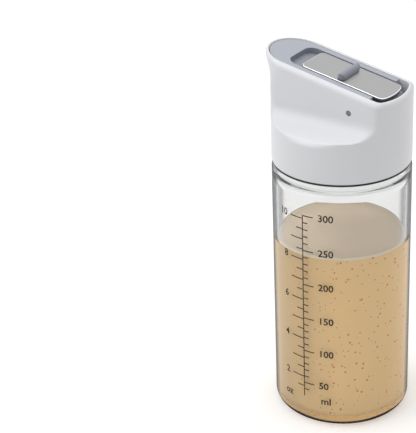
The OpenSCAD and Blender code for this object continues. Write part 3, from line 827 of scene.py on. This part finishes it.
recess = {"least": 0.9, "most": 3.4, "halfWidth": 10.6}
plateRim = {"least": 0.3, "most": 0.97}


def shadeRecess(piece):
    # The recess under the plate gets a darker, matter plastic: painted shade where it lies in
    # shadow
    piece.data.materials.append(materials["recessPaintedShade"])
    for face in piece.data.polygons:
        x, y, z = face.center / mm
        depth = rimZ(x) - z
        if recess["least"] < depth < recess["most"] and abs(y) < recess["halfWidth"]:
            face.material_index = 1


def polishRim(piece):
    # The plate's broken edge gets a brighter steel, a painted highlight, where its face is
    # brushed
    piece.data.materials.append(materials["plateRimHighlight"])
    faces = piece.data.polygons
    upright = max(faces, key=lambda face: face.area * face.normal.z).normal.copy()
    for face in faces:
        if plateRim["least"] < face.normal.dot(upright) < plateRim["most"]:
            face.material_index = 1


# Node, width of the broken edges, material, body and slot of each plainer piece
plainPieces = {
    "innerCap": ("inner_cap", 0.25, "capPlastic", "lid", "cap_plastic"),
    "spoutChannel": ("spout_channel", 0.25, "lidPlastic", "lid", "lid_plastic"),
    "channelWasher": ("channel_washer", 0.15, "silicone", "lid", "seal_silicone"),
    "airValve": ("air_valve", 0.2, "silicone", "lid", "seal_silicone"),
    "neckGasket": ("neck_gasket", 0.3, "silicone", "cap_seal", "seal_silicone"),
    "pivotPin": ("pivot_pin", 0.2, "pinSteel", "lid", "pin_steel"),
    "pourLever": ("pour_lever", 0.3, "leverPlastic", "lever", "lever_plastic"),
    "spoutStopper": ("spout_stopper", 0.3, "silicone", "lever", "seal_silicone"),
    "lockPlate": ("lock_plate", 0.34, "plateSteel", "lock", "plate_steel"),
    "thumbRib": ("thumb_rib", 0.2, "ribPlastic", "lock", "rib_plastic"),
    "plateRunner": ("plate_runner", 0.25, "runnerPlastic", "lock", "runner_plastic"),
}

makeJar()
makeDressing()
makeThread("neckThread", jar["neckRadius"], 1, screw["neckStart"], 0.0,
           "jarGlass", "jar")
makeThread("capThread", screw["capRadius"], -1, screw["capStart"], math.pi,
           "capPlastic", "lid")
print("jar, dressing and threads made")
makeShell()
makeSkirtLip()
makeSpring()
print("lid shell and spring made")
made = {name: softened(name, *spec) for name, spec in plainPieces.items()}
shadeRecess(made["pourLever"])
polishRim(made["lockPlate"])
print("moulded and metal pieces finished")
makeScale()
print("scale printed")


# Floor, light and camera

studio = {
    "floorSize": 6.0, "floorDrop": 0.05, "floorTone": 0.86, "floorLift": 0.16,
    "floorGrain": 40, "floorRough": 0.85, "roughSpan": 0.1, "floorGloss": 0.1,
    "floorThrough": 0.92, "liftThrough": 0.0, "worldThrough": 0.86, "ambient": 0.52,
    "keyPower": 8.0, "keySize": 1.3, "keyPlace": (-0.75, -0.55, 1.25),
    "topPower": 8.0, "topSize": 1.6, "topPlace": (0.1, 0.25, 1.5),
    "white": (1.0, 1.0, 1.0), "aimZ": 0.1,
}


def shownAs(paint, unseen, seen, through):
    # One grey for light, one for the camera and gloss, one for what glass shows
    rays = {name: paint.node("LightPath", out="Is " + name + " Ray")
            for name in ("Camera", "Glossy", "Transmission")}
    direct = rays["Camera"].math("MAXIMUM", rays["Glossy"])
    grey = paint.mixed(direct, (unseen, unseen, unseen), (seen, seen, seen))
    return paint.mixed(rays["Transmission"], grey, (through, through, through))


def makeFloor():
    # A hair below the glass, so that the base is not fused with it
    bm = bmesh.new()
    sunk = Matrix.Translation((0, 0, -studio["floorDrop"] * mm))
    bmesh.ops.create_grid(bm, x_segments=1, y_segments=1, size=studio["floorSize"] / 2,
                          matrix=sunk)
    mesh = bpy.data.meshes.new("floor")
    bm.to_mesh(mesh)
    bm.free()
    floor = bpy.data.objects.new("floor", mesh)
    scene.collection.objects.link(floor)
    material = bpy.data.materials.new("floorCard")
    paint = Paint(material)
    grain = paint.noise(studio["floorGrain"])
    card = paint.node("BsdfPrincipled", {}, {
        "Base Color": shownAs(paint, studio["floorTone"], 1, studio["floorThrough"]),
        "Roughness": grain * studio["roughSpan"] + studio["floorRough"],
        "Specular IOR Level": studio["floorGloss"],
        "Emission Color": shownAs(paint, 0, studio["floorLift"], studio["liftThrough"]),
        "Emission Strength": 1.0})
    paint.finish(card)
    mesh.materials.append(material)


def makeWorld():
    world = bpy.data.worlds.new("studio")
    scene.world = world
    paint = Paint(world)
    colour = shownAs(paint, studio["ambient"], 1, studio["worldThrough"])
    paint.finish(paint.node("Background", {}, {"Color": colour}), kind="World")


def makeLamp(name, power, size, place):
    lamp = bpy.data.lights.new(name, "AREA")
    lamp.shape, lamp.size, lamp.energy = "DISK", size, power
    lamp.color = studio["white"]
    holder = bpy.data.objects.new(name, lamp)
    holder.location = place
    aim = Vector((0, 0, studio["aimZ"])) - Vector(place)
    holder.rotation_euler = aim.to_track_quat("-Z", "Y").to_euler()
    scene.collection.objects.link(holder)


camera = {
    "azimuth": 30.85, "elevation": 27.70, "distance": 742.1, "aimZ": 88.64,
    "pan": 4.902, "tilt": 0.623, "roll": 0.035, "lens": 129.6,
    "sensor": 36, "nearest": 0.02, "farthest": 30,
}


def makeCamera():
    turn, rise = math.radians(camera["azimuth"]), math.radians(camera["elevation"])
    back = Vector((math.sin(turn) * math.cos(rise), -math.cos(turn) * math.cos(rise),
                   math.sin(rise)))
    lens = bpy.data.cameras.new("camera")
    lens.lens, lens.sensor_width = camera["lens"], camera["sensor"]
    lens.clip_start, lens.clip_end = camera["nearest"], camera["farthest"]
    holder = bpy.data.objects.new("camera", lens)
    holder.location = (Vector((0, 0, camera["aimZ"])) + back * camera["distance"]) * mm
    facing = (-back).to_track_quat("-Z", "Y").to_matrix()
    swing = (Matrix.Rotation(math.radians(camera["pan"]), 3, "Y")
             @ Matrix.Rotation(math.radians(camera["tilt"]), 3, "X")
             @ Matrix.Rotation(math.radians(camera["roll"]), 3, "Z"))
    holder.rotation_euler = (facing @ swing).to_euler()
    scene.collection.objects.link(holder)
    scene.camera = holder


makeFloor()
makeWorld()
makeLamp("keyLamp", studio["keyPower"], studio["keySize"], studio["keyPlace"])
makeLamp("topLamp", studio["topPower"], studio["topSize"], studio["topPlace"])
makeCamera()
scene.view_settings.view_transform = "Standard"
print("studio set")
